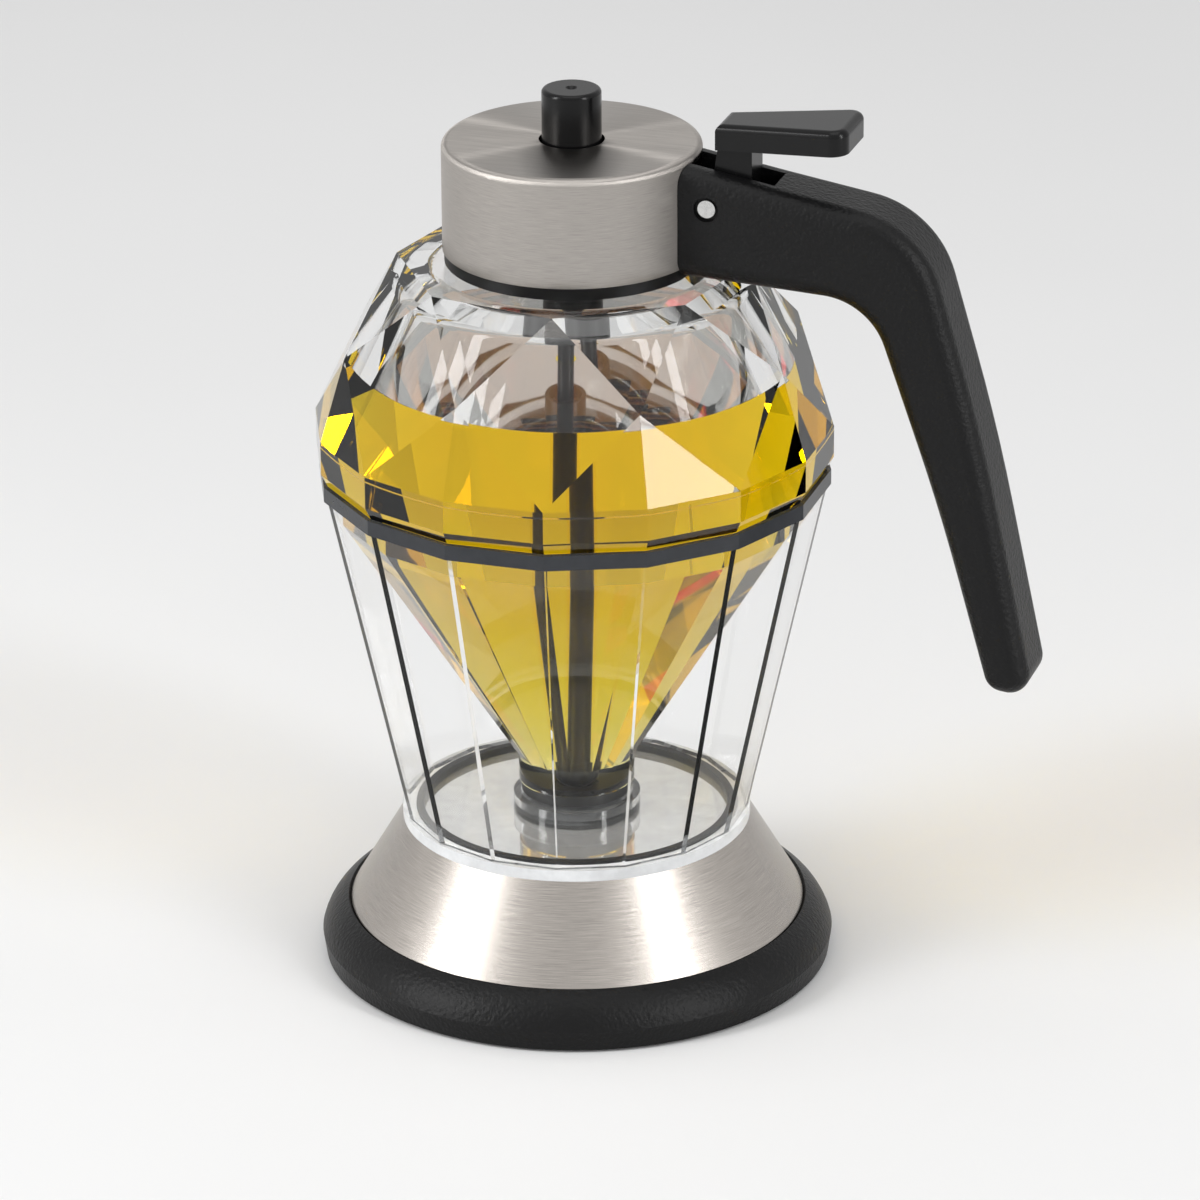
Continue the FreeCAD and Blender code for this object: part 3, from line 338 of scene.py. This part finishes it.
def honey_body():
    """Honey against the glass: light that is already in the glass goes straight on into it."""
    material, tree, shader = new_material(
        "honey_look",
        {"Base Color": (1.0, 0.82, 0.12, 1.0), "Transmission Weight": 1.0, "IOR": HONEY_IOR})
    swirl = noise(tree, object_position(tree), SWIRL_SCALE)
    vary_roughness(tree, shader, swirl, low=0.01, high=0.04)
    bounced = number(tree, "SUBTRACT", 1.0, ray_is(tree, "Is Camera Ray"))
    pass_light(tree, shader.outputs["BSDF"], (1.0, 0.965, 0.85), bounced)
    honey_depth(tree)
    return material


def honey_surface():
    """The honey's still surface: it mirrors the pale crown above it."""
    material, tree, shader = new_material(
        "honey_surface",
        {"Base Color": (1.0, 0.97, 0.75, 1.0), "Transmission Weight": 1.0, "IOR": HONEY_IOR,
         "Roughness": 0.02})
    ripples = noise(tree, object_position(tree), RIPPLE_SCALE)
    bump(tree, shader, ripples, strength=0.05, depth=RIPPLE_DEPTH)
    gloss = add_node(tree, "ShaderNodeBsdfGlossy",
                     {"Color": (0.97, 0.96, 0.92, 1.0), "Roughness": 0.04})
    surface = mixed(tree, SURFACE_GLOSS, shader.outputs["BSDF"], gloss.outputs["BSDF"])
    pass_light(tree, surface, WHITE, ray_is(tree, "Is Shadow Ray"))
    honey_depth(tree)
    return material


def dress(names, material):
    for name in names:
        data = nodes[name].data
        if not data.materials:
            data.materials.append(material)
        for index in range(len(data.materials)):
            data.materials[index] = material


dress(["lid_shell"],
      brushed_metal("cap_steel", (0.47, 0.44, 0.41), roughness=0.34, stretch=0.98, linear_top=True))
dress(["base_cone"],
      brushed_metal("cone_steel", (0.48, 0.445, 0.41), roughness=0.24, stretch=0.85, linear_top=False))
dress(["base_ring", "handle"],
      grained_plastic("black_grain", (0.004, 0.004, 0.0042), roughness=0.38, strength=0.8))
dress(["base_plate"], smooth_plastic("black_inner", (0.03, 0.03, 0.03), roughness=0.5))
dress(["foot_pad"], smooth_plastic("foot_rubber", (0.03, 0.03, 0.03), roughness=0.75, strength=0.2))
dress(["lid_liner", "stem_guide"],
      smooth_plastic("black_band", (0.005, 0.005, 0.0052), roughness=0.35))
dress(["thumb_lever", "top_knob"],
      smooth_plastic("black_gloss", (0.004, 0.004, 0.0042), roughness=0.22, strength=0.04))
dress(["stem_rod", "valve_plug"],
      smooth_plastic("rod_black", (0.006, 0.006, 0.0065), roughness=0.3))
dress(["floor_gasket", "valve_seat"],
      smooth_plastic("black_seal", (0.009, 0.009, 0.009), roughness=0.5, strength=0.12))
dress(["rim_gasket"],
      smooth_plastic("grey_seal", (0.03, 0.032, 0.036), roughness=0.26, strength=0.08))
dress(["lid_gasket"], smooth_plastic("pale_seal", (0.55, 0.55, 0.55), roughness=0.45))
dress(["collar_ring"],
      smooth_plastic("light_collar", (0.62, 0.63, 0.64), roughness=0.22, strength=0.04, coat=0.4))
dress(["floor_disc"], mirror_floor())
screw_steel = bright_steel("screw_steel", (0.6, 0.6, 0.6), roughness=0.3)
dress(["base_screws", "handle_screws", "spring_collar"], screw_steel)
dress(["pivot_pin"], bright_steel("pin_steel", (0.62, 0.62, 0.61), roughness=0.28))
dress(["stand_wall"],
      clear_body("clear_wall", (0.985, 0.988, 0.99), PLASTIC_IOR, roughness=0.02, haze=0.02,
                 reflection=0.35))
dress(["drip_cup"],
      clear_body("clear_cup", (0.97, 0.975, 0.98), PLASTIC_IOR, roughness=0.03, haze=0.02,
                 reflection=0.7))
dress(["jar_glass"], wetted_glass("jar_glass", (0.985, 0.99, 0.988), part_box("honey")[1].z))


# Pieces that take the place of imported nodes
def copy_of(node, name, materials):
    """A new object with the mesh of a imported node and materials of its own."""
    mesh = nodes[node].data.copy()
    mesh.name = name
    mesh.materials.clear()
    for material in materials:
        mesh.materials.append(material)
    return new_object(name, mesh)


def honey_fill():
    """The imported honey's outline, with a surface of its own on top."""
    fill = copy_of("honey", "honey_fill", [honey_body(), honey_surface()])
    for polygon in fill.data.polygons:
        polygon.material_index = 1 if polygon.normal.z > UPWARD else 0
    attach(fill, "jar")
    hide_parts("honey")


def return_spring():
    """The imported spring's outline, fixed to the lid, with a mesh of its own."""
    coil = copy_of("return_spring", "return_coil", [screw_steel])
    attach(coil, "lid")
    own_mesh(coil)
    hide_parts("return_spring")


honey_fill()
return_spring()


# Studio
def studio_floor():
    """A pale round table top."""
    turns = [2 * math.pi * step / FLOOR_SIDES for step in range(FLOOR_SIDES)]
    corners = [(FLOOR_RADIUS * math.cos(turn), FLOOR_RADIUS * math.sin(turn), 0.0) for turn in turns]
    mesh = bpy.data.meshes.new("floor")
    mesh.from_pydata(corners, [], [tuple(range(FLOOR_SIDES))])
    material, tree, shader = new_material("floor_white", {"Roughness": 0.6, "Specular IOR Level": 0.2})
    tone = noise(tree, object_position(tree), FLOOR_CLOUD_SCALE)
    vary_color(tree, shader, tone, *FLOOR_TONES)
    mesh.materials.append(material)
    floor = new_object("floor", mesh)


def soft_lamp(name, azimuth, elevation, distance, size, power):
    """An area lamp that looks at the object from one direction."""
    lamp = bpy.data.lights.new(name, "AREA")
    lamp.shape = "RECTANGLE"
    lamp.size, lamp.size_y = size
    lamp.energy = power
    holder = new_object(name, lamp)
    side = math.radians(azimuth)
    lift = math.radians(elevation)
    level = math.cos(lift)
    direction = Vector((math.sin(side) * level, -math.cos(side) * level, math.sin(lift)))
    holder.location = LAMP_TARGET + direction * distance
    holder.rotation_euler = (-direction).to_track_quat("-Z", "Y").to_euler()


def studio_world():
    """White light all round, and a brighter backdrop for the camera, clear bodies and mirrors."""
    world = bpy.data.worlds.new("studio")
    bpy.context.scene.world = world
    world.use_nodes = True
    tree = world.node_tree
    light = tree.nodes["Background"]
    light.inputs["Color"].default_value = (*WHITE, 1.0)
    light.inputs["Strength"].default_value = AMBIENT_STRENGTH
    backdrop = add_node(tree, "ShaderNodeBackground",
                        {"Color": BACKDROP_COLOR, "Strength": BACKDROP_STRENGTH})
    through = number(tree, "MAXIMUM", ray_is(tree, "Is Transmission Ray"), ray_is(tree, "Is Glossy Ray"))
    seen = number(tree, "MAXIMUM", ray_is(tree, "Is Camera Ray"), through)
    surface = mixed(tree, seen, light.outputs["Background"], backdrop.outputs["Background"])
    feed(tree, surface, tree.nodes["World Output"].inputs["Surface"])


def photograph_camera():
    """Camera at the photograph's angle: yaw, then pitch, then roll about the line of sight."""
    away = Vector((-math.sin(CAMERA_AZIMUTH), math.cos(CAMERA_AZIMUTH), 0.0))
    right = Vector((math.cos(CAMERA_AZIMUTH), math.sin(CAMERA_AZIMUTH), 0.0))
    up = Vector((0.0, 0.0, 1.0))
    ahead = away * math.cos(CAMERA_YAW) + right * math.sin(CAMERA_YAW)
    right = right * math.cos(CAMERA_YAW) - away * math.sin(CAMERA_YAW)
    forward = ahead * math.cos(CAMERA_PITCH) - up * math.sin(CAMERA_PITCH)
    raised = ahead * math.sin(CAMERA_PITCH) + up * math.cos(CAMERA_PITCH)
    top = raised * math.cos(CAMERA_ROLL) + right * math.sin(CAMERA_ROLL)
    side = right * math.cos(CAMERA_ROLL) - raised * math.sin(CAMERA_ROLL)
    lens = bpy.data.cameras.new("camera")
    lens.sensor_width = SENSOR_WIDTH
    lens.lens = LENS
    camera = new_object("camera", lens)
    place = Vector((math.sin(CAMERA_AZIMUTH) * CAMERA_DISTANCE,
                    -math.cos(CAMERA_AZIMUTH) * CAMERA_DISTANCE, CAMERA_HEIGHT))
    axes = Matrix((side, top, -forward)).transposed()
    camera.matrix_world = Matrix.Translation(place) @ axes.to_4x4()
    bpy.context.scene.camera = camera


studio_floor()
soft_lamp("key_left", azimuth=-48.0, elevation=23.0, distance=1.2, size=(0.26, 1.0), power=9.5)
soft_lamp("fill_right", azimuth=70.0, elevation=22.0, distance=1.3, size=(0.2, 1.0), power=7.5)
soft_lamp("top", azimuth=18.0, elevation=82.0, distance=1.2, size=(0.9, 0.9), power=3.2)
studio_world()
photograph_camera()

bpy.context.scene.view_settings.view_transform = "Standard"
